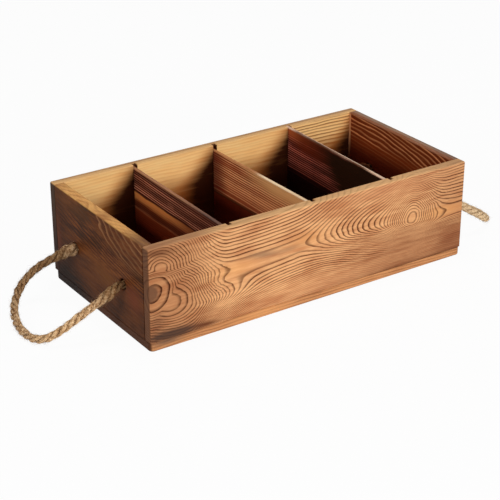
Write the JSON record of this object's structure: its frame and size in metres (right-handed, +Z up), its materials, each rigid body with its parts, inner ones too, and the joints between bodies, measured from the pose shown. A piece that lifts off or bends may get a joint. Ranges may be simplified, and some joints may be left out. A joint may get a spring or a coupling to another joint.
{
  "type": "coffee station organizer",
  "caption": "Open wooden tabletop caddy with compartments, lift-out dividers in grooves and a knotted rope loop handle at each end.",
  "frame": {"origin": "centre of the underside of the base board", "axes": "+X along the length, to the right as seen from the front, +Y to the back, +Z up"},
  "size_m": [0.5106, 0.178, 0.098],
  "materials": {
    "panel_pine": "torched and brushed softwood, satin",
    "end_pine": "darkly torched and brushed softwood, satin",
    "base_pine": "torched and brushed softwood, satin",
    "divider_wood": "dark brushed thin board, satin",
    "jute_rope": "three-strand natural jute, matte",
    "steel": "plain brads and nails"
  },
  "bodies": {
    "box": {"base_board": "base_pine", "front_panel": "panel_pine", "back_panel": "panel_pine", "left_end_panel": "end_pine", "right_end_panel": "end_pine", "front_corner_brads": "steel", "back_corner_brads": "steel", "base_nails": "steel", "left_front_rope_root": "jute_rope", "left_back_rope_root": "jute_rope", "right_front_rope_root": "jute_rope", "right_back_rope_root": "jute_rope", "left_front_knot": "jute_rope", "left_back_knot": "jute_rope", "right_front_knot": "jute_rope", "right_back_knot": "jute_rope"},
    "left_divider": {"left_divider": "divider_wood"},
    "middle_divider": {"middle_divider": "divider_wood"},
    "right_divider": {"right_divider": "divider_wood"},
    "left_handle": {"left_rope_handle": "jute_rope"},
    "right_handle": {"right_rope_handle": "jute_rope"}
  },
  "joints": [
    {"name": "left_divider_lift", "type": "slide", "parent": "box", "child": "left_divider", "axis": [0, 0, 1], "range_m": [0, 0.095]},
    {"name": "middle_divider_lift", "type": "slide", "parent": "box", "child": "middle_divider", "axis": [0, 0, 1], "range_m": [0, 0.095]},
    {"name": "right_divider_lift", "type": "slide", "parent": "box", "child": "right_divider", "axis": [0, 0, 1], "range_m": [0, 0.095]},
    {"name": "left_handle_swing", "type": "hinge", "parent": "box", "child": "left_handle", "pos_m": [-0.1805, 0, 0.0475], "axis": [0, 1, 0], "range_deg": [0, 115]},
    {"name": "right_handle_swing", "type": "hinge", "parent": "box", "child": "right_handle", "pos_m": [0.1805, 0, 0.0475], "axis": [0, -1, 0], "range_deg": [0, 115]}
  ]
}
